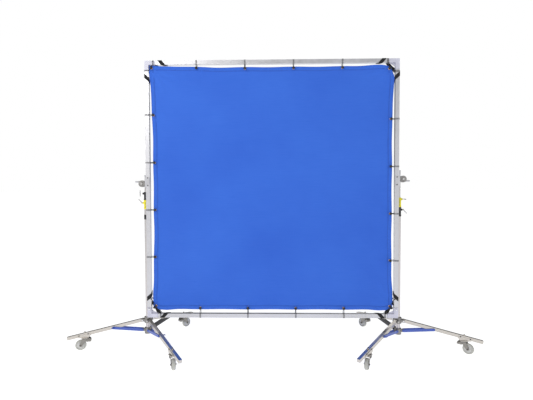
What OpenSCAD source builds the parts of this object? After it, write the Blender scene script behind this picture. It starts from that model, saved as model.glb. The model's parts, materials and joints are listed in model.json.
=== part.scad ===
// Butterfly background frame on two wheeled roller stands, with a folding base on each stand.
// X runs along the frame, Y runs from its front to its back, and Z is up.
// The origin is on the floor, under the middle of the footprint.

/* [Frame] */
// Width of the frame over its tubes
frame_w = 2390; // [1800:10:2500]
// Height of the frame over its tubes
frame_h = 2440; // [1800:10:2500]
// Height of the frame's lower edge above the floor
frame_z = 328; // [324:2:360]
// Side of the square frame tube
tube = 38; // [30:1:42]
// Wall thickness of the frame tube
tube_wall = 2; // [1.5:0.5:3]
// Length of each leg of a corner elbow
elbow_leg = 100; // [80:5:140]
// Height of the tilt axis above the floor
tilt_z = 1630; // [1620:2:1640]

/* [Screen] */
// Gap between the fabric and the inside of the side tubes
side_gap = 40; // [30:1:60]
// Gap between the fabric and the inside of the top and bottom tubes
end_gap = 36; // [30:1:60]
// Distance from one tie to the next
tie_pitch = 449; // [400:1:460]
// Diameter of the elastic cord of a tie
cord_d = 5.4; // [4:0.2:5.8]
// Diameter of the ball of a tie
ball_d = 26; // [20:1:30]
// Width of the corner webbing
webbing_w = 35; // [30:5:60]

/* [Stands] */
// Distance of each stand's axis from the middle of the frame
stand_x = 1229; // [1229:1:1240]
// Outer diameter of the column
column_d = 40; // [38:1:40]
// Outer diameter of the lower riser
riser_d = 35; // [34:0.5:35]
// Outer diameter of the upper riser
upper_riser_d = 28.6; // [26:0.2:28.6]
// Diameter of the stand's top pin and of the ear pins
pin_d = 16; // [15:0.5:16]
// Outer diameter of the clamping collars
collar_d = 47; // [46:0.5:47.5]

/* [Base] */
// Length of a leg from its pivot to its tip
leg_len = 724; // [700:2:740]
// Side of the square leg tube
leg_side = 30; // [26:1:30]
// Slope of the legs below the horizontal
leg_slope = 12.4; // [12:0.1:12.8]
// Diameter of the caster wheels
wheel_d = 100; // [90:2:100]
// Width of the caster wheels
wheel_w = 30; // [24:1:32]

/* [Hidden] */
$fn = 48;
soft_fn = 24;
past = 1; // how far a cut runs past the face that it opens

// Fits: slide for tubes and hubs, run for pins in their bores, gap between flat faces
slide = 0.3;
run = 0.08;
gap = 0.5;

// Places across the frame and the stands
left = -1;
right = 1;
frame_y = -150;
stand_y = -55;
tilt_y = frame_y + 60;
tube_r = tube / 2;
side_x = frame_w / 2 - tube_r;
low_z = frame_z + tube_r;
top_z = frame_z + frame_h - tube_r;

// Directions of the legs, as seen from above, anticlockwise from +X
outer_turn = [187.5, 348.7];
front_turn = [307.5, 228.7];
rear_turn = [67.5, 108.7];
// How far each wheel's swivel is turned from its leg
outer_swivel = [12, -32];
front_swivel = [-14, 16];
rear_swivel = [-15, 15];

// Columns and collars
column_z = 135;
column_wall = 2.2;
riser_wall = 2.4;
upper_wall = 2;
collar_seat = 34;
base_collar_z = [1365, 1289];
base_collar_h = [87, 89];
upper_collar_h = [79, 92];
collar_gap = 0.5;
riser_foot = 300;
upper_foot = 420;
upper_tube_top = [1562, 1552];
pin_top = 1648;
collar_rim = 3;
collar_foot = 14;
collar_head = 22;
boss_in = 16;
boss_out = 33;
boss_d = 20;
screw_d = 8;
base_screw_z = [1424, 1352];
upper_screw_z = [1516, 1453];
band_z = 1264;
band_h = 45;
band_t = 2.5;
pin_base_d = 24;
pin_base_h = 8;
plug_h = 40;
column_plug_h = 12;

// Handles of the collars
stem_d = 14;
stem_len = 8;
lever_ball_d = 17;
lever_d = 11;
lever_len = 44;
lever_lean = 48;
tee_d = 9;
tee_len = 50;

// Hubs and legs, in the plane of a leg: distance from the column's axis, then height
pivot_r = 50;
pivot_z = 271;
brace_low_z = 176;
brace_s = 283;
brace_n = -5;
hub_ring_d = 66;
hub_ring_z = 246;
hub_ring_h = 56;
foot_ring_d = 62;
foot_ring_z = 138;
foot_ring_h = 58;
arm_root = 24;
ear_t = 6;
ear_round = 14;
bolt_d = 10;
bolt_head_d = 17;
bolt_head_t = 6;
nut_d = 19;
nut_t = 8;
leg_wall = 2.5;
leg_solid = 26;
cap_t = 4;
cap_in = 30;
nub_d = 14;
nub_h = 12;
lug_w = 26;
lug_round = 11;
lug_drop = 4;
slot_depth = 50;
brace_h = 25;
brace_t = 5;
brace_pin_d = 8;
rivet_d = 15;
rivet_t = 5;
wing_d = 7;
wing_len = 34;
wing_stem = 16;
slot_lean = 3.3;
brace_x = pivot_r + brace_s * cos(leg_slope) + brace_n * sin(leg_slope);
brace_z = pivot_z - brace_s * sin(leg_slope) + brace_n * cos(leg_slope);
brace_run = brace_x - pivot_r;
brace_drop = brace_z - brace_low_z;
brace_len = sqrt(brace_run * brace_run + brace_drop * brace_drop);
brace_slope = atan(brace_drop / brace_run);
brace_gap = leg_side / 2 + gap;

// Casters, in the plane of a leg
swivel_r = 597;
trail = 39;
plate_z = 118;
plate_t = 5;
plate_side = 60;
cheek_t = 4;
race_z = 112;
race_d = 54;
crown_t = 8;
crown_back = 26;
crown_front = 24;
fork_gap = wheel_w / 2 + 3;
fork_t = 3;
axle_d = 10;
axle_nut_d = 16;
axle_nut_t = 5;
axle_lobe = 13.5;
pedal_lobe = 9.5;
wheel_z = wheel_d / 2;
pedal_r = 566;
pedal_z = 90;
pedal_round = 26;
pedal_t = 3;
pedal_pivot_r = 582;
pedal_pivot_z = 92;
pedal_pin_d = 6;
pedal_arm_w = 18;
pedal_arm_len = 40;

// Grip heads
disc_d = 64;
disc_t = 10;
disc_gap = 12;
disc_out = 26;
disc_lift = [-18, 18];
socket_d = 34;
head_screw_d = 10;
head_bar = 160;
head_bar_d = 11;
head_hub_d = 18;
head_hub_t = 16;
head_nut_d = 20;
head_nut_t = 9;
socket_h = 44;
neck = [30, 16, 34];
head_bar_y = stand_y + 53;
ear_in = 9;
ear_h = 110;
ear_arm = 40;
ear_flange = 3;
groove_w = 2;
groove_cut = 1.6;
ear_pin_out = 1320;
ear_ring = 1288;

// Corner elbows
spigot_in = 40;
web_t = 5;
web_end = 4;
web_side = 30;
knob_up = 80;
knob_d = 24;
knob_t = 8;

// Fabric, ties and straps
screen_t = 2;
screen_x = frame_w / 2 - tube - side_gap;
screen_low = frame_z + tube + end_gap + 8;
screen_top = frame_z + frame_h - tube - end_gap + 10;
grommet_d = 24;
grommet_t = 5;
rim_t = 1;
grommet_in = 14;
tie_low = 448;
tie_end = -678;
right_lag = 30;
strap_t = 2.4;
strap_half = 20;
strap_along = 160;
strap_up = [198, 158];

function side_of(side) = side == left ? 0 : 1;
function collar_top(side) = base_collar_z[side_of(side)] + base_collar_h[side_of(side)];

// Puts a part on the axis of one stand
module at_stand(side) {
    translate([side * stand_x, stand_y, 0]) children();
}

// Turns a part that points along +X away from the frame
module face_out(side) {
    rotate([0, 0, side == left ? 180 : 0]) children();
}

// Turns a part into the plane of a leg
module at_leg(side, turns) {
    at_stand(side) rotate([0, 0, turns[side_of(side)]]) children();
}

// Puts a part in a leg's own frame: origin at its pivot, X along the tube
module on_leg(side, turns) {
    at_leg(side, turns) translate([pivot_r, 0, pivot_z]) rotate([0, leg_slope, 0]) children();
}

// Puts a part on a caster's swivel axis, turned with the wheel
module at_caster(side, turns, swivels) {
    at_leg(side, turns) translate([swivel_r, 0, 0]) rotate([0, 0, swivels[side_of(side)]]) children();
}

// A rod along Y, centred on its length
module cross_rod(d, len) {
    rotate([90, 0, 0]) cylinder(d = d, h = len, center = true);
}

// A hexagonal nut along Y, centred on its thickness
module hex_nut(d, len) {
    rotate([90, 0, 0]) cylinder(d = d, h = len, center = true, $fn = 6);
}

// A rod along X, from the origin outwards
module out_rod(d, len) {
    rotate([0, 90, 0]) cylinder(d = d, h = len);
}

// A round tube that stands on the XY plane
module pipe(d, wall, h) {
    difference() {
        cylinder(d = d, h = h);
        translate([0, 0, -past]) cylinder(d = d - 2 * wall, h = h + 2 * past);
    }
}

// ---- Stands ----

module column(side) {
    column_h = base_collar_z[side_of(side)] + collar_seat - column_z;
    color("silver") at_stand(side) {
        translate([0, 0, column_z]) pipe(column_d, column_wall, column_h);
        translate([0, 0, column_z]) cylinder(d = column_d - 2 * column_wall, h = column_plug_h);
    }
}

module left_column() { column(left); }
module right_column() { column(right); }

// Clamp hub with a pair of ears for each leg
module upper_hub(side) {
    difference() {
        union() {
            at_stand(side) translate([0, 0, hub_ring_z]) cylinder(d = hub_ring_d, h = hub_ring_h);
            for (turns = [outer_turn, front_turn, rear_turn])
                for (face = [-1, 1])
                    at_leg(side, turns) translate([0, face * (leg_side / 2 + gap + ear_t / 2), 0])
                        upper_ear();
        }
        at_stand(side) cylinder(d = column_d + slide, h = 2 * pivot_z);
        for (turns = [outer_turn, front_turn, rear_turn])
            at_leg(side, turns) translate([pivot_r, 0, pivot_z]) cross_rod(bolt_d + run, 80);
    }
}

// Ear plate from the ring to its round end
module upper_ear() {
    translate([arm_root, -ear_t / 2, pivot_z - ear_round + 1])
        cube([pivot_r - arm_root, ear_t, 2 * ear_round - 2]);
    translate([pivot_r, 0, pivot_z]) cross_rod(2 * ear_round, ear_t);
}

module upper_hubs() {
    color("gray") {
        upper_hub(left);
        upper_hub(right);
    }
}

// Foot hub: each brace's pin drops out of its slot as the base folds
module lower_hub(side) {
    difference() {
        union() {
            at_stand(side) translate([0, 0, foot_ring_z]) cylinder(d = foot_ring_d, h = foot_ring_h);
            for (turns = [outer_turn, front_turn, rear_turn])
                at_leg(side, turns) {
                    translate([arm_root, -lug_w / 2, brace_low_z - lug_round - lug_drop])
                        cube([pivot_r - arm_root, lug_w, 2 * lug_round + lug_drop - 1]);
                    translate([pivot_r, 0, brace_low_z]) cross_rod(2 * lug_round, lug_w);
                }
        }
        at_stand(side) cylinder(d = column_d + slide, h = pivot_z);
        for (turns = [outer_turn, front_turn, rear_turn])
            at_leg(side, turns) translate([pivot_r, 0, brace_low_z]) {
                cross_rod(brace_pin_d + 2 * gap, lug_w + 8);
                rotate([0, slot_lean, 0]) translate([0, 0, -slot_depth / 2])
                    cube([brace_pin_d + gap, lug_w + 8, slot_depth], center = true);
            }
    }
}

module lower_hubs() {
    color("gray") {
        lower_hub(left);
        lower_hub(right);
    }
}

// One pivot bolt for each leg, with a head and a nut
module hub_bolts() {
    head_y = leg_side / 2 + gap + ear_t;
    color("silver")
        for (side = [left, right])
            for (turns = [outer_turn, front_turn, rear_turn])
                at_leg(side, turns) translate([pivot_r, 0, pivot_z]) {
                    cross_rod(bolt_d, 2 * head_y);
                    translate([0, head_y + bolt_head_t / 2, 0]) cross_rod(bolt_head_d, bolt_head_t);
                    translate([0, -head_y - nut_t / 2, 0]) hex_nut(nut_d, nut_t);
                }
}

// Clamping collar: a seat on the outer tube, a running bore for the inner one, and a screw boss
module collar(side, z, h, outer_d, inner_d, boss_z) {
    difference() {
        union() {
            at_stand(side) translate([0, 0, z]) {
                cylinder(d = collar_d - collar_rim, h = h);
                cylinder(d = collar_d, h = collar_foot);
                translate([0, 0, h - collar_head]) cylinder(d = collar_d, h = collar_head);
            }
            at_stand(side) translate([side * boss_in, 0, boss_z]) face_out(side)
                out_rod(boss_d, boss_out - boss_in);
        }
        at_stand(side) {
            translate([0, 0, z - past]) cylinder(d = outer_d + slide, h = collar_seat + past);
            translate([0, 0, z]) cylinder(d = inner_d + 2 * slide, h = h + past);
            translate([0, 0, boss_z]) face_out(side) out_rod(screw_d + run, 2 * boss_out);
        }
    }
}

module left_base_collar() {
    color("yellow") collar(left, base_collar_z[0], base_collar_h[0], column_d, riser_d, base_screw_z[0]);
}

module right_base_collar() {
    color("black") collar(right, base_collar_z[1], base_collar_h[1], column_d, riser_d, base_screw_z[1]);
}

module left_upper_collar() {
    color("black")
        collar(left, collar_top(left) + collar_gap, upper_collar_h[0],
            riser_d, upper_riser_d, upper_screw_z[0]);
}

module right_upper_collar() {
    color("yellow")
        collar(right, collar_top(right) + collar_gap, upper_collar_h[1],
            riser_d, upper_riser_d, upper_screw_z[1]);
}

// Rubber band round the left column, under its collar
module left_band() {
    color("black") at_stand(left) translate([0, 0, band_z])
        pipe(column_d + slide + 2 * band_t, band_t, band_h);
}

module lower_riser(side) {
    top = collar_top(side) + collar_gap + collar_seat;
    color("silver") at_stand(side) translate([0, 0, riser_foot]) pipe(riser_d, riser_wall, top - riser_foot);
}

module left_riser_lower() { lower_riser(left); }
module right_riser_lower() { lower_riser(right); }

// Upper riser with its stepped top pin
module upper_riser(side) {
    tube_top = upper_tube_top[side_of(side)];
    color("silver") at_stand(side) {
        translate([0, 0, upper_foot]) pipe(upper_riser_d, upper_wall, tube_top - upper_foot);
        translate([0, 0, tube_top - plug_h]) cylinder(d = upper_riser_d - 2 * upper_wall, h = plug_h);
        translate([0, 0, tube_top]) cylinder(d = pin_base_d, h = pin_base_h);
        translate([0, 0, tube_top]) cylinder(d = pin_d, h = pin_top - tube_top);
    }
}

module left_riser_upper() { upper_riser(left); }
module right_riser_upper() { upper_riser(right); }

// Screw and stem that every collar handle turns on, pointing outwards
module handle_stem(side, z, reach) {
    screw_in = riser_d / 2 + 1;
    at_stand(side) translate([0, 0, z]) face_out(side) {
        translate([screw_in, 0, 0]) out_rod(screw_d, reach - screw_in);
        translate([boss_out + 1, 0, 0]) out_rod(stem_d, stem_len);
        translate([reach, 0, 0]) children();
    }
}

// Slanted clamping lever of a lower collar
module base_lever(side, up) {
    color("dimgray") handle_stem(side, base_screw_z[side_of(side)], boss_out + 10) {
        sphere(d = lever_ball_d);
        rotate([0, -up * lever_lean, 0]) {
            rotate([0, 90, 0]) cylinder(d1 = lever_d, d2 = lever_d - 2, h = lever_len);
            translate([lever_len, 0, 0]) sphere(d = lever_d + 1);
        }
    }
}

module left_base_lever() { base_lever(left, 1); }
module right_base_lever() { base_lever(right, -1); }

// Tee handle of an upper collar, with its bar across the screw
module upper_handle(side, lean) {
    color("silver") handle_stem(side, upper_screw_z[side_of(side)], boss_out + 28) {
        sphere(d = stem_d);
        rotate([lean, 0, 0]) {
            cylinder(d = tee_d, h = tee_len, center = true);
            for (end = [-1, 1])
                translate([0, 0, end * tee_len / 2]) sphere(d = tee_d + 2);
        }
    }
}

module left_upper_handle() { upper_handle(left, 0); }
module right_upper_handle() { upper_handle(right, 90); }

// ---- Folding base ----

// Square leg tube with a round pivot end, a tip plug and the bracket that carries its caster
module leg(side, turns) {
    color("lightgray") difference() {
        union() {
            on_leg(side, turns) {
                cross_rod(leg_side, leg_side);
                translate([0, -leg_side / 2, -leg_side / 2]) cube([leg_len, leg_side, leg_side]);
                translate([swivel_r / cos(leg_slope) - pivot_r - 2, 0, leg_side / 2]) {
                    cylinder(d = nub_d + 6, h = 3);
                    cylinder(d = nub_d, h = nub_h);
                }
            }
            at_leg(side, turns) caster_bracket();
        }
        on_leg(side, turns) {
            translate([leg_solid, leg_wall - leg_side / 2, leg_wall - leg_side / 2])
                cube([leg_len, leg_side - 2 * leg_wall, leg_side - 2 * leg_wall]);
            cross_rod(bolt_d + 2 * run, leg_side + 2);
            translate([brace_s, 0, brace_n]) cross_rod(brace_pin_d + 2 * run, leg_side + 2);
        }
    }
    color("dimgray") on_leg(side, turns) {
        translate([leg_len, -leg_side / 2, -leg_side / 2]) cube([cap_t, leg_side, leg_side]);
        translate([leg_len - cap_in / 2, 0, 0])
            cube([cap_in, leg_side - 2 * leg_wall - slide, leg_side - 2 * leg_wall - slide], center = true);
    }
}

// Level plate under the sloping tube, with a cheek on each side of it
module caster_bracket() {
    translate([swivel_r - plate_side / 2, -plate_side / 2, plate_z])
        cube([plate_side, plate_side, plate_t]);
    for (face = [-1, 1])
        translate([0, face * (leg_side + cheek_t) / 2, 0]) rotate([90, 0, 0])
            linear_extrude(height = cheek_t, center = true)
                polygon([[swivel_r - 52, plate_z + 20], [swivel_r - 30, plate_z],
                    [swivel_r + 52, plate_z], [swivel_r + 70, plate_z + 8],
                    [swivel_r + 70, plate_z + 20], [swivel_r - 52, plate_z + 46]]);
}

module left_leg_outer() { leg(left, outer_turn); }
module left_leg_front() { leg(left, front_turn); }
module left_leg_rear() { leg(left, rear_turn); }
module right_leg_outer() { leg(right, outer_turn); }
module right_leg_front() { leg(right, front_turn); }
module right_leg_rear() { leg(right, rear_turn); }

// Pair of flat bars that straddle the leg, with a pin at each end
module brace(side, turns, paint) {
    pin_len = leg_side + 2 * gap + 2 * brace_t;
    at_leg(side, turns) translate([brace_x, 0, brace_z]) rotate([0, -brace_slope, 0]) {
        color(paint)
            for (face = [-1, 1])
                translate([0, face * (brace_gap + brace_t / 2), 0]) brace_bar();
        color("silver")
            for (x = [0, -brace_len])
                translate([x, 0, 0]) {
                    cross_rod(brace_pin_d, pin_len);
                    for (end = [-1, 1])
                        translate([0, end * (pin_len + rivet_t) / 2, 0]) cross_rod(rivet_d, rivet_t);
                }
        color("silver") translate([0, pin_len / 2 + rivet_t + wing_stem / 2 - 1, 0]) {
            cross_rod(brace_pin_d, wing_stem);
            translate([0, wing_stem / 2, 0]) rotate([0, 90, 0])
                cylinder(d = wing_d, h = wing_len, center = true);
        }
    }
}

module brace_bar() {
    difference() {
        union() {
            translate([-brace_len, -brace_t / 2, -brace_h / 2]) cube([brace_len, brace_t, brace_h]);
            cross_rod(brace_h, brace_t);
            translate([-brace_len, 0, 0]) cross_rod(brace_h, brace_t);
        }
        cross_rod(brace_pin_d + run, 2 * brace_t);
        translate([-brace_len, 0, 0]) cross_rod(brace_pin_d + run, 2 * brace_t);
    }
}

module left_brace_outer() { brace(left, outer_turn, "royalblue"); }
module left_brace_front() { brace(left, front_turn, "royalblue"); }
module left_brace_rear() { brace(left, rear_turn, "black"); }
module right_brace_outer() { brace(right, outer_turn, "royalblue"); }
module right_brace_front() { brace(right, front_turn, "royalblue"); }
module right_brace_rear() { brace(right, rear_turn, "black"); }

// Swivel fork with its race, its two cheeks and the axle
module fork(side, turns, swivels) {
    axle_len = 2 * (fork_gap + fork_t);
    color("gainsboro") at_caster(side, turns, swivels) {
        translate([0, 0, race_z]) cylinder(d = race_d, h = plate_z - race_z - gap);
        translate([-crown_back, -axle_len / 2, race_z - crown_t])
            cube([crown_back + crown_front, axle_len, crown_t]);
        for (face = [-1, 1])
            translate([0, face * (fork_gap + fork_t / 2), 0]) fork_cheek();
        translate([pedal_pivot_r - swivel_r, 0, pedal_pivot_z])
            cross_rod(pedal_pin_d, axle_len + 2 * (gap + pedal_t + 1));
        translate([trail, 0, wheel_z]) {
            cross_rod(axle_d, axle_len);
            for (face = [-1, 1])
                translate([0, face * (axle_len + axle_nut_t) / 2, 0]) cross_rod(axle_nut_d, axle_nut_t);
        }
    }
}

module fork_cheek() {
    rotate([90, 0, 0]) linear_extrude(height = fork_t, center = true) {
        polygon([[-crown_back, race_z], [crown_front, race_z],
            [trail + 13, wheel_z + 4], [trail - 13, wheel_z - 4]]);
        translate([trail, wheel_z]) circle(r = axle_lobe);
        translate([pedal_pivot_r - swivel_r, pedal_pivot_z]) circle(r = pedal_lobe);
    }
}

module left_fork_outer() { fork(left, outer_turn, outer_swivel); }
module left_fork_front() { fork(left, front_turn, front_swivel); }
module left_fork_rear() { fork(left, rear_turn, rear_swivel); }
module right_fork_outer() { fork(right, outer_turn, outer_swivel); }
module right_fork_front() { fork(right, front_turn, front_swivel); }
module right_fork_rear() { fork(right, rear_turn, rear_swivel); }

// Wheel: tread with rounded shoulders, web and hub, turned from one outline
module wheel(side, turns, swivels) {
    tread = wheel_d / 2;
    half = wheel_w / 2;
    color("whitesmoke") at_caster(side, turns, swivels) translate([trail, 0, wheel_z])
        rotate([90, 0, 0]) rotate_extrude($fn = 64)
            polygon([[axle_d / 2 + run, -half - 2], [13, -half - 2], [15, -half + 5], [tread - 14, -half + 5],
                [tread - 11, -half], [tread - 4, -half], [tread, -half + 5], [tread, half - 5],
                [tread - 4, half], [tread - 11, half], [tread - 14, half - 5], [15, half - 5],
                [13, half + 2], [axle_d / 2 + run, half + 2]]);
}

module left_wheel_outer() { wheel(left, outer_turn, outer_swivel); }
module left_wheel_front() { wheel(left, front_turn, front_swivel); }
module left_wheel_rear() { wheel(left, rear_turn, rear_swivel); }
module right_wheel_outer() { wheel(right, outer_turn, outer_swivel); }
module right_wheel_front() { wheel(right, front_turn, front_swivel); }
module right_wheel_rear() { wheel(right, rear_turn, rear_swivel); }

// Brake pedal: a curled tread between two arms outside the fork
module pedal(side, turns, swivels) {
    arm_y = fork_gap + fork_t + gap;
    color("silver") at_caster(side, turns, swivels) {
        translate([pedal_r - swivel_r, 0, pedal_z]) difference() {
            cross_rod(2 * pedal_round, 2 * (arm_y + pedal_t));
            cross_rod(2 * (pedal_round - pedal_t), 2 * (arm_y + pedal_t + past));
            translate([0, -50, -60]) cube([60, 100, 120]);
            translate([-60, -50, -60]) cube([120, 100, 50]);
        }
        for (face = [-1, 1])
            translate([0, face * (arm_y + pedal_t / 2), 0]) pedal_arm();
    }
}

module pedal_arm() {
    pivot = pedal_pivot_r - swivel_r;
    difference() {
        union() {
            translate([pivot - pedal_arm_len, -pedal_t / 2, pedal_z - pedal_arm_w / 2])
                cube([pedal_arm_len, pedal_t, pedal_arm_w]);
            translate([pivot, 0, pedal_pivot_z]) cross_rod(pedal_arm_w, pedal_t);
        }
        translate([pivot, 0, pedal_pivot_z]) cross_rod(pedal_pin_d + 2 * run, 10);
    }
}

module left_pedal_outer() { pedal(left, outer_turn, outer_swivel); }
module left_pedal_front() { pedal(left, front_turn, front_swivel); }
module left_pedal_rear() { pedal(left, rear_turn, rear_swivel); }
module right_pedal_outer() { pedal(right, outer_turn, outer_swivel); }
module right_pedal_front() { pedal(right, front_turn, front_swivel); }
module right_pedal_rear() { pedal(right, rear_turn, rear_swivel); }

// ---- Grip heads ----

// Socket on the top pin, fixed rear disc and loose front disc, each grooved for the ear pin
module grip_head(side) {
    disc_z = tilt_z + disc_lift[side_of(side)];
    disc_x = side * (stand_x + disc_out);
    color("gray") difference() {
        union() {
            at_stand(side) translate([0, 0, disc_z - socket_h / 2]) cylinder(d = socket_d, h = socket_h);
            translate([disc_x, tilt_y + disc_gap / 2 + disc_t / 2, disc_z]) cross_rod(disc_d, disc_t);
            translate([disc_x, stand_y - neck[1] + 2, disc_z]) cube(neck, center = true);
            translate([disc_x, tilt_y - disc_gap / 2 - disc_t / 2, disc_z]) cross_rod(disc_d, disc_t);
        }
        at_stand(side) cylinder(d = pin_d + slide, h = tilt_z + disc_d);
        translate([disc_x, stand_y, disc_z]) cross_rod(head_screw_d + run, 3 * disc_d);
        translate([disc_x, tilt_y, tilt_z]) rotate([0, 90, 0])
            cylinder(d = pin_d + run * 2, h = disc_d + 2 * past, center = true);
    }
}

module left_grip_head() { grip_head(left); }
module right_grip_head() { grip_head(right); }

// Long tee handle: screw through both discs, nut in front, bar behind
module head_handle(side) {
    disc_z = tilt_z + disc_lift[side_of(side)];
    front_y = tilt_y - disc_gap / 2 - disc_t;
    screw_y = front_y - head_nut_t - 1;
    color("silver") translate([side * (stand_x + disc_out), 0, disc_z]) {
        translate([0, (screw_y + head_bar_y) / 2, 0]) cross_rod(head_screw_d, head_bar_y - screw_y);
        translate([0, front_y - gap - head_nut_t / 2, 0]) hex_nut(head_nut_d, head_nut_t);
        translate([0, head_bar_y - head_hub_t / 2 - 1, 0]) cross_rod(head_hub_d, head_hub_t);
        translate([0, head_bar_y, 0]) {
            cylinder(d = head_bar_d, h = head_bar, center = true);
            for (end = [-1, 1])
                translate([0, 0, end * head_bar / 2]) sphere(d = head_bar_d + 4);
        }
    }
}

module left_head_handle() { head_handle(left); }
module right_head_handle() { head_handle(right); }

// ---- Frame ----

module rail(len) {
    difference() {
        cube([len, tube, tube], center = true);
        cube([len + 2 * past, tube - 2 * tube_wall, tube - 2 * tube_wall], center = true);
    }
}

module horizontal_rails() {
    color("lightgray")
        for (z = [low_z, top_z])
            translate([0, frame_y, z]) rail(frame_w - 2 * elbow_leg);
}

module vertical_rails() {
    color("lightgray")
        for (side = [left, right])
            translate([side * side_x, frame_y, frame_z + frame_h / 2]) rotate([0, 90, 0])
                rail(frame_h - 2 * elbow_leg);
}

// Puts a part that is drawn for the lower left corner of the frame at one of its four corners
module at_corner(across, up) {
    translate([0, frame_y - tube_r, frame_z + frame_h / 2]) mirror([across, 0, 0]) mirror([0, 0, up])
        translate([-frame_w / 2, 0, -frame_h / 2]) children();
}

// Corner elbow: two legs, a spigot in each rail, a web and maybe a knob
module elbow(knob) {
    spigot = tube - 2 * tube_wall - slide;
    cube([elbow_leg, tube, tube]);
    cube([tube, tube, elbow_leg]);
    translate([elbow_leg - 1, (tube - spigot) / 2, (tube - spigot) / 2]) cube([spigot_in, spigot, spigot]);
    translate([(tube - spigot) / 2, (tube - spigot) / 2, elbow_leg - 1]) cube([spigot, spigot, spigot_in]);
    translate([0, tube_r + web_t / 2, 0]) rotate([90, 0, 0]) linear_extrude(height = web_t)
        polygon([[tube - 1, tube - 1], [elbow_leg - web_end, tube - 1], [tube - 1, elbow_leg - web_side]]);
    if (knob)
        translate([tube_r, 0, knob_up]) rotate([90, 0, 0]) {
            cylinder(d = knob_d, h = knob_t / 2);
            cylinder(d = knob_d - 7, h = knob_t);
        }
}

module frame_corners() {
    color("lavender")
        for (across = [0, 1])
            for (up = [0, 1])
                at_corner(across, up) elbow(up == 0);
}

// Bracket round the middle of each side rail, with the pin that the grip head holds
module ear(side) {
    outer = side_x + tube_r;
    color("dimgray") translate([0, 0, tilt_z]) scale([side, 1, 1]) {
        translate([outer, frame_y - tube_r - ear_flange, -ear_h / 2])
            cube([ear_in, tube + 2 * ear_flange, ear_h]);
        translate([outer, frame_y, -ear_arm / 2]) cube([ear_in, tilt_y - frame_y, ear_arm]);
        translate([outer, tilt_y, 0]) out_rod(ear_arm, ear_in);
        for (face = [-1, 1])
            translate([side_x + 1, frame_y + face * (tube_r + ear_flange / 2), 0])
                cube([tube - 2, ear_flange, ear_h - 20], center = true);
        translate([outer, tilt_y, 0]) {
            out_rod(pin_d, ear_ring - outer);
            out_rod(pin_d - groove_cut, ear_ring + groove_w + 1 - outer);
        }
        translate([ear_ring + groove_w, tilt_y, 0]) out_rod(pin_d, ear_pin_out - ear_ring - groove_w);
    }
}

module frame_ears() {
    ear(left);
    ear(right);
}

// ---- Fabric and its fastenings ----

// Places of the ties along the sides, from the bottom
function side_tie_z(side, n) = tie_low + n * tie_pitch - (side == right && n > 0 ? right_lag : 0);
// Places of the ties along the top and the bottom, from the left
function end_tie_x(n) = tie_end + n * tie_pitch;

// Puts a tie at each grommet, with X pointing at the rail and the distance to its inner face known
module at_ties() {
    for (side = [left, right])
        for (n = [0:5])
            translate([side * (screen_x - grommet_in), frame_y, side_tie_z(side, n)])
                rotate([0, side == left ? 180 : 0, 0]) children(0);
    for (n = [0:3]) {
        translate([end_tie_x(n), frame_y, screen_top - grommet_in]) rotate([0, -90, 0]) children(1);
        translate([end_tie_x(n), frame_y, screen_low + grommet_in]) rotate([0, 90, 0]) children(2);
    }
}

side_reach = side_x - tube_r - screen_x + grommet_in;
top_reach = top_z - tube_r - screen_top + grommet_in;
low_reach = screen_low + grommet_in - low_z - tube_r;

module eyelet_cut(d) {
    cross_rod(d, 4 * grommet_t);
}

module screen() {
    color("royalblue") difference() {
        translate([-screen_x, frame_y - screen_t / 2, screen_low])
            cube([2 * screen_x, screen_t, screen_top - screen_low]);
        at_ties() {
            eyelet_cut(grommet_d - 4);
            eyelet_cut(grommet_d - 4);
            eyelet_cut(grommet_d - 4);
        }
    }
}

module grommet() {
    difference() {
        union() {
            cross_rod(grommet_d - 4.4, grommet_t);
            for (face = [-1, 1])
                translate([0, face * (screen_t / 2 + rim_t / 2 + 0.2), 0]) cross_rod(grommet_d, rim_t);
        }
        eyelet_cut(grommet_d / 2);
    }
}

module grommets() {
    color("goldenrod") at_ties() {
        grommet();
        grommet();
        grommet();
    }
}

// Elastic tie: a band round the rail, a strand to the grommet and the ball in front of it
module tie(reach) {
    inner = tube + 2 * slide;
    strand_y = -screen_t / 2 - 2 - cord_d / 2;
    translate([reach + tube_r, 0, 0]) difference() {
        cube([inner + 2 * cord_d, inner + 2 * cord_d, cord_d], center = true);
        cube([inner, inner, 2 * cord_d], center = true);
    }
    translate([0, strand_y, 0]) out_rod(cord_d, reach - 1);
    translate([0, strand_y - ball_d / 2, 0]) sphere(d = ball_d, $fn = soft_fn);
}

module bungee_ties() {
    color("black") at_ties() {
        tie(side_reach);
        tie(top_reach);
        tie(low_reach);
    }
}

// Band of webbing round a rail that runs along X
module wrap() {
    inner = tube + 2 * slide;
    difference() {
        cube([webbing_w, inner + 2 * strap_t, inner + 2 * strap_t], center = true);
        cube([webbing_w + 2 * past, inner, inner], center = true);
    }
}

// Webbing across a corner behind the fabric, drawn for the lower left corner
module corner_strap(rise) {
    back = tube_r + strap_t + 1;
    translate([strap_along, tube_r, tube_r]) wrap();
    translate([tube_r, tube_r, rise]) rotate([0, 90, 0]) wrap();
    translate([0, tube_r + back, 0]) rotate([90, 0, 0]) linear_extrude(height = strap_t)
        polygon([[strap_along - strap_half, tube], [strap_along + strap_half, tube],
            [tube, rise + strap_half], [tube, rise - strap_half]]);
}

module corner_straps() {
    color("black")
        for (across = [0, 1])
            for (up = [0, 1])
                at_corner(across, up) corner_strap(strap_up[up]);
}

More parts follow.
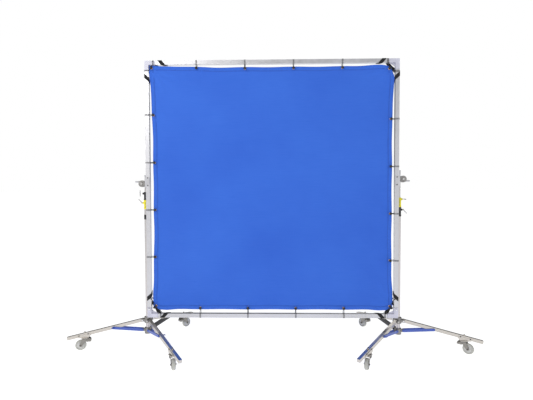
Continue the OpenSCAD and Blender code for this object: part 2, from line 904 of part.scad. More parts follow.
left_column();
right_column();
upper_hubs();
lower_hubs();
hub_bolts();
left_base_collar();
right_base_collar();
left_band();
left_leg_outer();
left_leg_front();
left_leg_rear();
right_leg_outer();
right_leg_front();
right_leg_rear();
left_brace_outer();
left_brace_front();
left_brace_rear();
right_brace_outer();
right_brace_front();
right_brace_rear();
left_fork_outer();
left_fork_front();
left_fork_rear();
right_fork_outer();
right_fork_front();
right_fork_rear();
left_wheel_outer();
left_wheel_front();
left_wheel_rear();
right_wheel_outer();
right_wheel_front();
right_wheel_rear();
left_pedal_outer();
left_pedal_front();
left_pedal_rear();
right_pedal_outer();
right_pedal_front();
right_pedal_rear();
left_riser_lower();
right_riser_lower();
left_riser_upper();
right_riser_upper();
left_upper_collar();
right_upper_collar();
left_base_lever();
right_base_lever();
left_upper_handle();
right_upper_handle();
left_grip_head();
right_grip_head();
left_head_handle();
right_head_handle();
horizontal_rails();
vertical_rails();
frame_corners();
frame_ears();
screen();
grommets();
bungee_ties();
corner_straps();
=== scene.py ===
"""Looks of a blue backdrop frame on two wheeled roller stands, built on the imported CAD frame."""

import json
from math import atan2, cos, exp, pi, radians, sin, tan

import bpy
from mathutils import Matrix, Vector, noise


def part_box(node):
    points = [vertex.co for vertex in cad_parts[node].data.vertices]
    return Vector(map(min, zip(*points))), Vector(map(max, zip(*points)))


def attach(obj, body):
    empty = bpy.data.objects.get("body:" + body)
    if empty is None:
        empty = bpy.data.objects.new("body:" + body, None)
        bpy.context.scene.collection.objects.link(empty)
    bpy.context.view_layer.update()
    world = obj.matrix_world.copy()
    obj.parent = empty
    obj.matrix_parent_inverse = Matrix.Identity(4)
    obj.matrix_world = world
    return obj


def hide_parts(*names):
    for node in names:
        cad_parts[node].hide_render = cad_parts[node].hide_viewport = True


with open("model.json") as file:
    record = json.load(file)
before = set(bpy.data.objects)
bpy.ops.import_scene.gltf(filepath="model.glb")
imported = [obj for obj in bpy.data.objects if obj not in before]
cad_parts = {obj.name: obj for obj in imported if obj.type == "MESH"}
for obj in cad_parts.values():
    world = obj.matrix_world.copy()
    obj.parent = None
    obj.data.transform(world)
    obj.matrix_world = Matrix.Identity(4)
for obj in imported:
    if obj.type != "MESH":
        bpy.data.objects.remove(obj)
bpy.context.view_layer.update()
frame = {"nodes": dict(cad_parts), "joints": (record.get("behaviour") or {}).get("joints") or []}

UP = Vector((0, 0, 1))
OUT_OF_PAGE = Vector((0, -1, 0))
SIDES = ("left", "right")
LEGS = ("outer", "front", "rear")
CORNERS = [(-1, -1), (1, -1), (-1, 1), (1, 1)]
JOINTS = {joint["name"]: joint for joint in frame["joints"]}


# ---- Camera, lights and floor ----

def add_camera():
    data = bpy.data.cameras.new("camera")
    data.sensor_width = 36
    data.lens = 27.24
    camera = bpy.data.objects.new("camera", data)
    look = Vector((-0.0202, 0.9993, -0.0319)).to_track_quat("-Z", "Y").to_matrix().to_4x4()
    place = Matrix.Translation((0.028, -3.980, 1.575))
    camera.matrix_world = place @ look @ Matrix.Rotation(radians(-0.20), 4, "Z")
    bpy.context.collection.objects.link(camera)
    bpy.context.scene.camera = camera


def add_area_light(name, at, towards, size, power, colour=(1, 1, 1)):
    data = bpy.data.lights.new(name, "AREA")
    data.shape = "DISK"
    data.size = size
    data.energy = power
    data.color = colour
    light = bpy.data.objects.new(name, data)
    turn = (Vector(towards) - Vector(at)).to_track_quat("-Z", "Y").to_matrix().to_4x4()
    light.matrix_world = Matrix.Translation(at) @ turn
    bpy.context.collection.objects.link(light)


def add_world():
    """A white studio, bright in front and grey to the sides, so that metal has something to reflect."""
    world = bpy.data.worlds.new("studio")
    bpy.context.scene.world = world
    world.use_nodes = True
    tree = world.node_tree
    tree.nodes.clear()
    coords = tree.nodes.new("ShaderNodeTexCoord")
    split = tree.nodes.new("ShaderNodeSeparateXYZ")
    half = tree.nodes.new("ShaderNodeMapRange")
    ramp = tree.nodes.new("ShaderNodeValToRGB")
    studio = tree.nodes.new("ShaderNodeBackground")
    white = tree.nodes.new("ShaderNodeBackground")
    rays = tree.nodes.new("ShaderNodeLightPath")
    mix = tree.nodes.new("ShaderNodeMixShader")
    output = tree.nodes.new("ShaderNodeOutputWorld")
    ramp.color_ramp.elements[0].position = 0.15
    ramp.color_ramp.elements[0].color = (1, 1, 1, 1)
    ramp.color_ramp.elements[1].position = 0.62
    ramp.color_ramp.elements[1].color = (0.26, 0.27, 0.28, 1)
    studio.inputs["Strength"].default_value = 0.66
    half.inputs["From Min"].default_value = -1
    white.inputs["Color"].default_value = (1, 1, 1, 1)
    white.inputs["Strength"].default_value = 1.0
    tree.links.new(coords.outputs["Generated"], split.inputs[0])
    tree.links.new(split.outputs["Y"], half.inputs["Value"])
    tree.links.new(half.outputs["Result"], ramp.inputs["Fac"])
    tree.links.new(ramp.outputs["Color"], studio.inputs["Color"])
    tree.links.new(rays.outputs["Is Camera Ray"], mix.inputs["Fac"])
    tree.links.new(studio.outputs[0], mix.inputs[1])
    tree.links.new(white.outputs[0], mix.inputs[2])
    tree.links.new(mix.outputs[0], output.inputs["Surface"])


def add_stage():
    floor = Piece()
    floor.grid([[Vector((x, y, -0.0005)) for x in (-90, 0, 90)] for y in (-30, 2, 160)])
    shade = Shader("floor_white")
    tone = shade.ramp(shade.noise(3.0, 2), (0.80, 0.80, 0.80), (0.84, 0.84, 0.84))
    shade.colour(tone)
    shade.surface.inputs["Emission Color"].default_value = (1, 1, 1, 1)
    shade.surface.inputs["Emission Strength"].default_value = 0.78
    shade.finish(rough=0.95)
    shade.surface.inputs["Specular IOR Level"].default_value = 0.1
    floor.build("studio_floor", shade.material)
    add_area_light("key", (-3.0, -4.0, 4.0), (-0.6, 0, 1.5), 2.6, 80, (1.0, 0.985, 0.96))
    add_area_light("fill", (3.4, -4.0, 2.2), (0.3, 0, 1.2), 2.8, 8, (0.96, 0.98, 1.0))
    add_area_light("rim", (1.5, 3.6, 4.2), (0, 0, 1.5), 2.5, 22)


# ---- Geometry ----

class Piece:
    """Collects the points and faces of one piece, each face with the number of its material."""

    def __init__(self):
        self.points = []
        self.faces = []
        self.slots = []

    def add(self, points, faces, slot=0):
        first = len(self.points)
        self.points += [tuple(point) for point in points]
        self.faces += [tuple(first + i for i in face) for face in faces]
        self.slots += [slot] * len(faces)

    def grid(self, rows, around=False, along=False, slot=0):
        """Skins rows of points. around closes each row, and along joins the last row to the first."""
        wide = len(rows[0])
        faces = []
        for i in range(len(rows) if along else len(rows) - 1):
            for j in range(wide if around else wide - 1):
                here, ahead = i * wide, (i + 1) % len(rows) * wide
                beside = (j + 1) % wide
                faces.append((here + j, here + beside, ahead + beside, ahead + j))
        self.add([point for row in rows for point in row], faces, slot)

    def lathe(self, profile, place, steps=32, slot=0):
        """Turns (radius, height) pairs about the Z axis of place."""
        rows = [[place @ Vector((r * cos(2 * pi * n / steps), r * sin(2 * pi * n / steps), h))
                 for n in range(steps)] for r, h in profile]
        self.grid(rows, around=True, slot=slot)

    def tube(self, path, radius, sides=10, closed=False, slot=0):
        """Sweeps a circle along a path, without twist."""
        count = len(path)
        normal = None
        rows = []
        for i, point in enumerate(path):
            ahead = path[(i + 1) % count] if closed or i + 1 < count else point
            behind = path[i - 1] if closed or i else point
            along = (ahead - behind).normalized()
            if normal is None:
                normal = along.orthogonal().normalized()
            normal = (normal - along * normal.dot(along)).normalized()
            across = along.cross(normal)
            turns = [2 * pi * n / sides for n in range(sides)]
            rows.append([point + radius * (normal * cos(turn) + across * sin(turn)) for turn in turns])
        self.grid(rows, around=True, along=closed, slot=slot)
        if not closed:
            first = len(self.points) - count * sides
            self.faces.append(tuple(first + n for n in reversed(range(sides))))
            self.faces.append(tuple(len(self.points) - sides + n for n in range(sides)))
            self.slots += [slot, slot]

    def box(self, size, place, slot=0):
        half = Vector(size) / 2
        points = [place @ Vector((x * half.x, y * half.y, z * half.z))
                  for z in (-1, 1) for y in (-1, 1) for x in (-1, 1)]
        faces = [(0, 2, 3, 1), (4, 5, 7, 6), (0, 1, 5, 4), (2, 6, 7, 3), (0, 4, 6, 2), (1, 3, 7, 5)]
        self.add(points, faces, slot)

    def button(self, spot, direction, radius, height, steps=20, slot=0):
        """A domed head at spot, facing direction."""
        self.lathe([(radius, 0)] + dome(radius, height), facing(spot, direction), steps, slot)

    def build(self, name, *materials, bevel=0):
        """Makes the object, with soft shading between its sharp edges."""
        mesh = bpy.data.meshes.new(name)
        mesh.from_pydata(self.points, [], self.faces)
        for material in materials:
            mesh.materials.append(material)
        mesh.polygons.foreach_set("material_index", self.slots)
        mesh.update()
        mesh.shade_smooth()
        mesh.set_sharp_from_angle(angle=radians(38))
        piece = bpy.data.objects.new(name, mesh)
        bpy.context.collection.objects.link(piece)
        if bevel:
            edge = piece.modifiers.new("bevel", "BEVEL")
            edge.width = bevel
            edge.segments = 2
            edge.limit_method = "ANGLE"
        return piece


def lerp(a, b, t):
    return a + (b - a) * t


def smooth_step(t):
    t = min(max(t, 0), 1)
    return t * t * (3 - 2 * t)


def bell(distance, spread):
    return exp(-(distance / spread) ** 2)


def rounded(corners, radius, steps=5, closed=True):
    """A path through these corners, with each one rounded by an arc-like curve."""
    path = []
    count = len(corners)
    for i, corner in enumerate(corners):
        if not closed and i in (0, count - 1):
            path.append(corner)
            continue
        back = corners[i - 1] - corner
        ahead = corners[(i + 1) % count] - corner
        start = corner + back.normalized() * min(radius, back.length / 2)
        end = corner + ahead.normalized() * min(radius, ahead.length / 2)
        for n in range(steps + 1):
            t = n / steps
            path.append(start.lerp(corner, t).lerp(corner.lerp(end, t), t))
    return path


def basis(origin, x, y, z):
    """A placing matrix from an origin and three directions."""
    turn = Matrix((x, y, z)).transposed().to_4x4()
    return Matrix.Translation(origin) @ turn


def facing(origin, direction):
    """A placing matrix whose Z points along direction."""
    z = Vector(direction).normalized()
    x = z.orthogonal().normalized()
    return basis(origin, x, z.cross(x), z)


def hinge_frame(joint):
    """X outwards and level, Y along the joint's axis, Z up, at the joint."""
    axis = Vector(joint["axis"])
    return basis(Vector(joint["pos_m"]), axis.cross(UP), axis, UP)


def dome(radius, height, steps=5):
    """Profile of a shallow round head, from its rim to its top."""
    return [(radius * cos(pi / 2 * n / steps), height * sin(pi / 2 * n / steps)) for n in range(steps + 1)]


# ---- Materials ----

def srgb(*values):
    """Linear colour from 0 to 255 display values."""
    return tuple((v / 255 / 12.92) if v <= 10 else (((v / 255) + 0.055) / 1.055) ** 2.4 for v in values)


class Shader:
    """A node material, with short names for the nodes that these finishes share."""

    def __init__(self, name):
        self.material = bpy.data.materials.new(name)
        self.material.use_nodes = True
        self.tree = self.material.node_tree
        self.surface = self.tree.nodes["Principled BSDF"]
        self.coords = self.tree.nodes.new("ShaderNodeTexCoord").outputs["Object"]

    def node(self, kind, links=(), values=(), **settings):
        node = self.tree.nodes.new(kind)
        for key, value in settings.items():
            setattr(node, key, value)
        for key, value in values:
            node.inputs[key].default_value = value
        for key, source in links:
            self.tree.links.new(source, node.inputs[key])
        return node

    def stretched(self, scale, turn=(0, 0, 0), coords=None):
        mapping = self.node("ShaderNodeMapping", [("Vector", coords or self.coords)],
                            [("Scale", scale), ("Rotation", turn)])
        return mapping.outputs["Vector"]

    def noise(self, scale, detail=3, coords=None):
        node = self.node("ShaderNodeTexNoise", [("Vector", coords or self.coords)],
                         [("Scale", scale), ("Detail", detail)])
        return node.outputs["Fac"]

    def waves(self, pitch, direction="X", coords=None, bend=0.0):
        """Ridges that repeat every pitch metres."""
        node = self.node("ShaderNodeTexWave", [("Vector", coords or self.coords)],
                         [("Scale", 2 * pi / (20 * pitch)), ("Distortion", bend), ("Detail Scale", 2.0)],
                         bands_direction=direction)
        return node.outputs["Fac"]

    def mix(self, a, b, share=0.5, blend="MIX"):
        node = self.node("ShaderNodeMix", data_type="RGBA", blend_type=blend)
        for key, source in ((0, share), (6, a), (7, b)):
            if hasattr(source, "is_linked"):
                self.tree.links.new(source, node.inputs[key])
            elif key:
                node.inputs[key].default_value = (*source, 1)
            else:
                node.inputs[key].default_value = source
        return node.outputs[2]

    def ramp(self, source, low, high, start=0.3, end=0.7):
        node = self.node("ShaderNodeValToRGB", [("Fac", source)])
        first, last = node.color_ramp.elements
        first.position, last.position = start, end
        first.color, last.color = (*low, 1), (*high, 1)
        return node.outputs["Color"]

    def span(self, source, low, high, start=0.3, end=0.7):
        """Maps a texture to a range of values."""
        node = self.node("ShaderNodeMapRange", [("Value", source)],
                         [("From Min", start), ("From Max", end), ("To Min", low), ("To Max", high)])
        return node.outputs["Result"]

    def maths(self, operation, a, b):
        node = self.node("ShaderNodeMath", operation=operation)
        for key, source in ((0, a), (1, b)):
            if hasattr(source, "is_linked"):
                self.tree.links.new(source, node.inputs[key])
            else:
                node.inputs[key].default_value = source
        return node.outputs["Value"]

    def colour(self, source):
        self.tree.links.new(source, self.surface.inputs["Base Color"])

    def roughness(self, source):
        self.tree.links.new(source, self.surface.inputs["Roughness"])

    def bump(self, height, depth, strength=1.0, under=None):
        links = [("Height", height)] + ([("Normal", under)] if under else [])
        node = self.node("ShaderNodeBump", links, [("Distance", depth), ("Strength", strength)])
        self.tree.links.new(node.outputs["Normal"], self.surface.inputs["Normal"])
        return node.outputs["Normal"]

    def finish(self, metal=0.0, rough=None, sheen=0.0, coat=0.0):
        self.surface.inputs["Metallic"].default_value = metal
        if rough is not None:
            self.surface.inputs["Roughness"].default_value = rough
        self.surface.inputs["Sheen Weight"].default_value = sheen
        self.surface.inputs["Coat Weight"].default_value = coat


def brushed_metal(name, colour, rough=0.33, grain=(1, 1, 30)):
    """Drawn or satin tube: fine lines along it, faint patches and small dull marks."""
    shade = Shader(name)
    along = shade.stretched([60 / g for g in grain])
    lines = shade.noise(14, 4, along)
    patches = shade.noise(5, 3)
    marks = shade.noise(130, 2)
    dark = tuple(0.86 * c for c in colour)
    tone = shade.mix(shade.ramp(lines, dark, colour), shade.ramp(patches, dark, colour), 0.5)
    shade.colour(shade.mix(tone, tuple(0.7 * c for c in colour), shade.span(marks, 0, 0.35, 0.62, 0.75)))
    shade.roughness(shade.maths("ADD", shade.span(lines, rough - 0.06, rough + 0.06),
                                shade.span(patches, -0.04, 0.08)))
    shade.bump(lines, 0.00012, 0.5)
    shade.finish(metal=1.0)
    return shade.material


def cast_metal(name, colour):
    """Sand-cast and tumbled metal with a fine grain."""
    shade = Shader(name)
    grain = shade.noise(420, 3)
    worn = shade.noise(38, 4)
    shade.colour(shade.ramp(worn, tuple(0.7 * c for c in colour), tuple(min(1.25 * c, 1) for c in colour)))
    shade.roughness(shade.span(worn, 0.42, 0.62))
    shade.bump(grain, 0.0005, 0.6, shade.bump(worn, 0.0008, 0.25))
    shade.finish(metal=0.85)
    return shade.material


def paint(name, colour, rough=0.38, worn=None):
    """Powder coat: orange peel, slight fading, and chips that show what is under it."""
    shade = Shader(name)
    peel = shade.noise(520, 2)
    fade = shade.noise(11, 3)
    chips = shade.noise(150, 5)
    tone = shade.ramp(fade, tuple(0.82 * c for c in colour), colour)
    under = worn or tuple(0.5 * c for c in colour)
    shade.colour(shade.mix(tone, under, shade.span(chips, 0, 0.9, 0.69, 0.73)))
    shade.roughness(shade.span(fade, rough - 0.06, rough + 0.08))
    shade.bump(peel, 0.0003, 0.45)
    shade.finish(coat=0.15)
    return shade.material


def plastic(name, colour, rough=0.45, grain=700):
    """Moulded plastic or rubber with a fine texture and a little dust."""
    shade = Shader(name)
    texture = shade.noise(grain, 2)
    dust = shade.noise(26, 4)
    shade.colour(shade.ramp(dust, colour, tuple(min(0.82 * c + 0.03, 1) for c in colour), 0.35, 0.8))
    shade.roughness(shade.span(dust, rough - 0.05, rough + 0.12))
    shade.bump(texture, 0.0002, 0.5)
    shade.finish()
    return shade.material


# Pitch of the cloth's threads and of the hem's stitches, and the rows' distance from the edge
THREAD = 0.0016
STITCH_PITCH = 0.0045
STITCH_ROWS = (0.030, 0.036)


def backdrop_cloth(name, deep, bright):
    """Plain-woven cotton: threads both ways with a painted highlight on the raised ones, slubs, soft fading
    and fine creases.
    """
    shade = Shader(name)
    weave = shade.maths("MULTIPLY", shade.waves(THREAD, "X", bend=1.2), shade.waves(THREAD, "Z", bend=1.2))
    slubs = shade.noise(9, 3, shade.stretched((1.0, 1.0, 26.0)))
    cloud = shade.noise(1.4, 4)
    creases = shade.noise(7, 5, shade.stretched((1.0, 1.0, 0.45), (0, 0.5, 0)))
    tone = shade.ramp(cloud, deep, bright, 0.25, 0.75)
    thick = tuple(0.9 * c for c in deep)
    # A painted highlight: the tops of the woven threads are drawn lighter
    raised_thread_highlight = tuple(min(1.08 * c, 1) for c in bright)
    slubbed = shade.mix(tone, thick, shade.span(slubs, 0, 0.25, 0.55, 0.8))
    shade.colour(shade.mix(slubbed, raised_thread_highlight, shade.span(weave, 0, 0.35, 0.1, 0.8)))
    shade.roughness(shade.span(slubs, 0.82, 0.92))
    shade.bump(weave, 0.00025, 0.5, shade.bump(creases, 0.004, 0.32))
    shade.finish(sheen=0.12)
    return shade.material


def hem_cloth(name, deep, bright, thread):
    """The same cloth folded double, with two rows of lockstitch, painted shade in a band beside the inner
    row and a painted highlight on the raised threads; U runs along the hem and V across it.
    """
    shade = Shader(name)
    uv = shade.node("ShaderNodeUVMap", uv_map="along").outputs["UV"]
    split = shade.node("ShaderNodeSeparateXYZ", [(0, uv)])
    along, across = split.outputs["X"], split.outputs["Y"]
    weave = shade.maths("MULTIPLY", shade.waves(THREAD, "X", bend=1.2), shade.waves(THREAD, "Z", bend=1.2))
    beat = shade.maths("SINE", shade.maths("MULTIPLY", along, 2 * pi / STITCH_PITCH), 0)
    row = None
    for place in STITCH_ROWS:
        gap = shade.maths("ABSOLUTE", shade.maths("SUBTRACT", across, place), 0)
        near = shade.maths("LESS_THAN", gap, 0.0011)
        row = near if row is None else shade.maths("MAXIMUM", row, near)
    stitch = shade.maths("MULTIPLY", row, shade.maths("GREATER_THAN", beat, -0.5))
    pucker = shade.noise(1, 3, shade.node("ShaderNodeMapping", [("Vector", uv)],
                                          [("Scale", (90, 12, 1))]).outputs["Vector"])
    tone = shade.ramp(pucker, deep, bright, 0.25, 0.75)
    # fold is painted shade: within a few millimetres of the inner row of stitches the cloth darkens towards
    # the thread colour, where the crease would shade it
    fold = shade.span(gap, 0.38, 0, 0.001, 0.006)
    # The raised threads of the weave are mixed towards the bright blue, a painted highlight
    cloth = shade.mix(shade.mix(tone, bright, shade.span(weave, 0, 0.3, 0.1, 0.8)), thread, fold)
    shade.colour(shade.mix(cloth, thread, stitch))
    shade.roughness(shade.span(pucker, 0.8, 0.92))
    puckered = shade.bump(pucker, 0.003, 0.4)
    shade.bump(shade.maths("SUBTRACT", weave, shade.maths("MULTIPLY", row, 1.5)), 0.0004, 0.6, puckered)
    shade.finish(sheen=0.12)
    return shade.material


def webbing(name, colour):
    """Woven strap: close ribs across it, drawn lighter on their tops as a painted highlight, with a little
    dust.
    """
    shade = Shader(name)
    ribs = shade.waves(0.0024, "DIAGONAL", bend=0.6)
    fuzz = shade.noise(240, 3)
    # light is both a painted highlight on the ribs and the lighter colour of dust in the fuzz
    light = tuple(c * 1.5 + 0.002 for c in colour)
    shade.colour(shade.mix(shade.ramp(ribs, colour, light, 0.2, 0.9), light, shade.span(fuzz, 0, 0.4)))
    shade.roughness(shade.span(fuzz, 0.78, 0.92))
    shade.bump(ribs, 0.0005, 0.8, shade.bump(fuzz, 0.0004, 0.3))
    shade.finish(sheen=0.04)
    return shade.material


def braid(name, colour):
    """Elastic cord in a braided sleeve, with painted shade between the strands and a painted highlight on
    them.
    """
    shade = Shader(name)
    one = shade.waves(0.0021, "DIAGONAL", shade.stretched((1, 1, 1)))
    other = shade.waves(0.0021, "DIAGONAL", shade.stretched((-1, -1, 1)))
    plait = shade.maths("MAXIMUM", one, other)
    # The plait drives the colour too: painted shade in the grooves between strands, painted highlight on
    # their tops
    shade.colour(shade.ramp(plait, tuple(0.5 * c for c in colour), tuple(1.6 * c for c in colour)))
    shade.roughness(shade.span(plait, 0.7, 0.55))
    shade.bump(plait, 0.0004, 0.8)
    shade.finish(sheen=0.03)
    return shade.material


DEEP_BLUE = srgb(38, 92, 202)
BRIGHT_BLUE = srgb(50, 106, 214)

M = {
    "tube_steel": brushed_metal("tube_steel_satin", srgb(206, 202, 202), 0.34, (1, 1, 40)),
    "leg_steel": brushed_metal("leg_steel_satin", srgb(204, 199, 192), 0.36, (12, 12, 1)),
    "cast_grey": cast_metal("cast_grey_hub", srgb(150, 148, 146)),
    "handle_steel": brushed_metal("handle_steel_bright", srgb(214, 213, 212), 0.24, (1, 1, 10)),
    "collar_yellow": paint("collar_yellow_enamel", srgb(252, 238, 30), 0.36, srgb(150, 130, 50)),
    "collar_black": paint("collar_black_enamel", srgb(34, 34, 37), 0.36, srgb(120, 118, 114)),
    "band_black": plastic("band_black_rubber", srgb(28, 28, 30), 0.7),
    "brace_blue": paint("brace_blue_enamel", srgb(70, 98, 190), 0.4, srgb(120, 122, 130)),
    # brace_black is painted shadow: a darkened copy of the blue brace paint, for braces that are the same
    # blue bars standing in shade
    "brace_black": paint("brace_black_enamel", srgb(22, 22, 25), 0.4, srgb(110, 108, 104)),
    "caster_steel": brushed_metal("caster_steel_zinc", srgb(146, 143, 138), 0.30, (3, 3, 3)),
    "wheel_grey": plastic("wheel_grey_rubber", srgb(188, 188, 182), 0.55, 500),
    "rail": brushed_metal("rail_aluminium_satin", srgb(208, 208, 212), 0.40, (30, 1, 30)),
    "corner": paint("corner_pale_enamel", srgb(208, 208, 224), 0.38, srgb(120, 120, 132)),
    "ear_grey": paint("ear_grey_enamel", srgb(196, 196, 200), 0.42, srgb(130, 130, 132)),
    "fabric_blue": backdrop_cloth("cloth_blue", DEEP_BLUE, BRIGHT_BLUE),
    "brass": brushed_metal("eyelet_brass", srgb(206, 166, 96), 0.3, (2, 2, 2)),
    "cord_black": braid("cord_black_braid", srgb(17, 17, 19)),
    "webbing_black": webbing("webbing_black_woven", srgb(13, 13, 16)),
}
HEM = hem_cloth("cloth_hem_blue", DEEP_BLUE, BRIGHT_BLUE, srgb(36, 80, 176))
WHEEL_CORE = plastic("wheel_core_nylon", srgb(206, 206, 204), 0.4)
WHITE_CAP = plastic("button_white_nylon", srgb(236, 236, 238), 0.35)
DARK_STEEL = brushed_metal("fastener_dark_steel", srgb(96, 95, 94), 0.38, (2, 2, 2))
BALL = plastic("ball_black_nylon", srgb(20, 20, 22), 0.3)
SEAM = plastic("seam_dark_gap", srgb(70, 70, 76), 0.6)


def round_cad_edges():
    """Softens the long edges of the square tubes and castings, which catch the light."""
    widths = {"horizontal_rails": 0.0025, "vertical_rails": 0.0025, "frame_corners": 0.0025,
              "frame_ears": 0.0012}
    for side in SIDES:
        for leg in LEGS:
            widths[f"{side}_leg_{leg}"] = 0.0022
            widths[f"{side}_brace_{leg}"] = 0.0010
            widths[f"{side}_fork_{leg}"] = 0.0008
    for name, width in widths.items():
        edge = frame["nodes"][name].modifiers.new("rounded", "BEVEL")
        edge.width = width
        edge.segments = 2
        edge.limit_method = "ANGLE"
        edge.angle_limit = radians(50)


def paint_cad_nodes():
    for node in frame["nodes"].values():
        for slot in node.material_slots:
            slot.material = M[slot.material.name.split(".")[0]]


# ---- Backdrop ----

LOW_FRAME, HIGH_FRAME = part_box("frame_corners")
LOW_SCREEN, HIGH_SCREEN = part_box("screen")
FRAME_Y = (LOW_SCREEN.y + HIGH_SCREEN.y) / 2
TUBE = 0.038
HALF_W = HIGH_FRAME.x
INNER_X = HALF_W - TUBE
INNER_TOP = HIGH_FRAME.z - TUBE
INNER_LOW = LOW_FRAME.z + TUBE
TIE_PITCH = 0.449
SIDE_TIES = {-1: [0.448 + n * TIE_PITCH for n in range(6)],
             1: [0.448 + n * TIE_PITCH - (0.030 if n else 0) for n in range(6)]}
END_TIES = [-0.678 + n * TIE_PITCH for n in range(4)]
EYELET_IN = 0.014
CORNER_EYELET_IN = 0.022
CORD_R = 0.0018
BALL_R = 0.0130
BALL_OUT = 0.0165


def scallop(place, ties):
    """0 at a tie and 1 half way between two ties, where the edge draws in."""
    nearest = min(abs(place - tie) for tie in ties)
    return sin(pi / 2 * min(nearest / (TIE_PITCH / 2), 1)) ** 2


def side_edge(side, z):
    """Where the left or right edge of the cloth is at this height: it spreads towards the corners."""
    if side < 0:
        reach = 1.128 + 0.025 * bell(z - 2.74, 0.42)
        reach += 0.010 * bell(z - 0.64, 0.26) + 0.008 * bell(z - 0.53, 0.08)
    else:
        reach = 1.134 + 0.016 * bell(z - 2.58, 0.22) + 0.012 * bell(z - 0.55, 0.14)
        reach -= 0.026 * smooth_step((z - 2.60) / 0.10)
    return side * (reach - 0.004 * scallop(z, SIDE_TIES[side]))


def top_edge(x):
    """The height of the top edge, which rises towards its left end."""
    lift = 0.023 * min(max((-x - 0.5) / 0.66, 0), 1) + 0.013 * bell(x - 1.0, 0.14)
    lift -= 0.016 * smooth_step((x - 1.03) / 0.10)
    return 2.705 + lift - 0.004 * scallop(x, END_TIES)


def low_edge(x):
    """The height of the low edge, which turns up at its ends."""
    lift = 0.024 * smooth_step((abs(x) - 1.05) / 0.08) - 0.007 * bell(abs(x) - 1.0, 0.08)
    return 0.403 + lift + 0.003 * scallop(x, END_TIES)


def cloth_relief(x, z):
    """How far the cloth is behind its plane: forward at the corners, creased at the ties, gently uneven."""
    relief = 0.0016 * noise.noise(Vector((x * 2.1, 3.0, z * 1.7)))
    for across, up in CORNERS:
        gap = Vector((x - across * 1.13, z - (2.70 if up > 0 else 0.44)))
        turn = atan2(gap.y, gap.x)
        relief -= 0.0105 * bell(gap.length, 0.13)
        relief += 0.0028 * bell(gap.length - 0.10, 0.13) * sin(17 * turn + 2.3 * across)
    for side, places in SIDE_TIES.items():
        for place in places[1:-1]:
            gap = Vector((x - side * 1.10, z - place))
            relief += 0.0014 * bell(gap.length - 0.03, 0.07) * cos(9 * atan2(gap.y, gap.x))
    for place in END_TIES:
        for edge in (2.69, 0.42):
            gap = Vector((x - place, z - edge))
            relief += 0.0014 * bell(gap.length - 0.03, 0.07) * cos(9 * atan2(gap.y, gap.x))
    return relief


def cloth_point(a, b, lift=0.0):
    """A point of the cloth, a across and b up, both from 0 to 1, standing lift in front of it."""
    flat_x = lerp(LOW_SCREEN.x, HIGH_SCREEN.x, a)
    flat_z = lerp(LOW_SCREEN.z, HIGH_SCREEN.z, b)
    x = lerp(side_edge(-1, flat_z), side_edge(1, flat_z), a)
    z = lerp(low_edge(flat_x), top_edge(flat_x), b)
    return Vector((x, FRAME_Y + cloth_relief(x, z) - lift, z))


CLOTH_W = HIGH_SCREEN.x - LOW_SCREEN.x
CLOTH_H = HIGH_SCREEN.z - LOW_SCREEN.z


def inset_point(run, inset, lift):
    """A point inset from the edge of the cloth; run goes from 0 to 4 round its four sides."""
    side = int(run) % 4
    t = run - int(run)
    a = inset / CLOTH_W
    b = inset / CLOTH_H
    along_a = lerp(a, 1 - a, t)
    along_b = lerp(b, 1 - b, t)
    spots = [(along_a, b), (1 - a, along_b), (1 - along_a, 1 - b), (a, 1 - along_b)]
    return cloth_point(*spots[side], lift)


def add_cloth():
    cloth = Piece()
    columns, rows = 150, 156
    cloth.grid([[cloth_point(i / columns, j / rows) for i in range(columns + 1)] for j in range(rows + 1)])
    piece = cloth.build("backdrop_cloth", M["fabric_blue"])
    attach(piece, "frame")
    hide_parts("screen")
    hem = add_hem()


def add_hem():
    """The turned edge, a flat loop of doubled cloth round the whole cloth, with its UVs in metres."""
    section = [(0.040, 0.0004), (0.039, 0.0013), (0.020, 0.0017), (0.001, 0.0016), (-0.0012, 0.0),
               (0.001, -0.0016), (0.020, -0.0017), (0.039, -0.0013), (0.040, -0.0004)]
    steps = 110
    hem = Piece()
    runs = [n / steps for n in range(4 * steps)]
    rows = [[inset_point(run, inset, lift) for inset, lift in section] for run in runs]
    hem.grid(rows, along=True)
    piece = hem.build("backdrop_hem", HEM)
    layer = piece.data.uv_layers.new(name="along")
    wide = len(section)
    lengths = [0.0]
    for row, following in zip(rows, rows[1:] + rows[:1]):
        lengths.append(lengths[-1] + (following[2] - row[2]).length)
    for polygon in piece.data.polygons:
        n = polygon.index // (wide - 1)
        for loop in polygon.loop_indices:
            row, place = divmod(piece.data.loops[loop].vertex_index, wide)
            along = lengths[n + 1] if row != n else lengths[n]
            layer.data[loop].uv = (along, section[place][0])
    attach(piece, "frame")
    return piece


def tie_places():
    """Each straight tie as its eyelet's point, the direction of its rail, and how far out the rail is."""
    places = []
    for side, heights in SIDE_TIES.items():
        a = EYELET_IN / CLOTH_W if side < 0 else 1 - EYELET_IN / CLOTH_W
        for z in heights[1:-1]:
            places.append((cloth_point(a, (z - LOW_SCREEN.z) / CLOTH_H), Vector((side, 0, 0)), INNER_X))
    for x in END_TIES:
        a = (x - LOW_SCREEN.x) / CLOTH_W
        places.append((cloth_point(a, 1 - EYELET_IN / CLOTH_H), UP.copy(), INNER_TOP))
        places.append((cloth_point(a, EYELET_IN / CLOTH_H), -UP, -INNER_LOW))
    return places


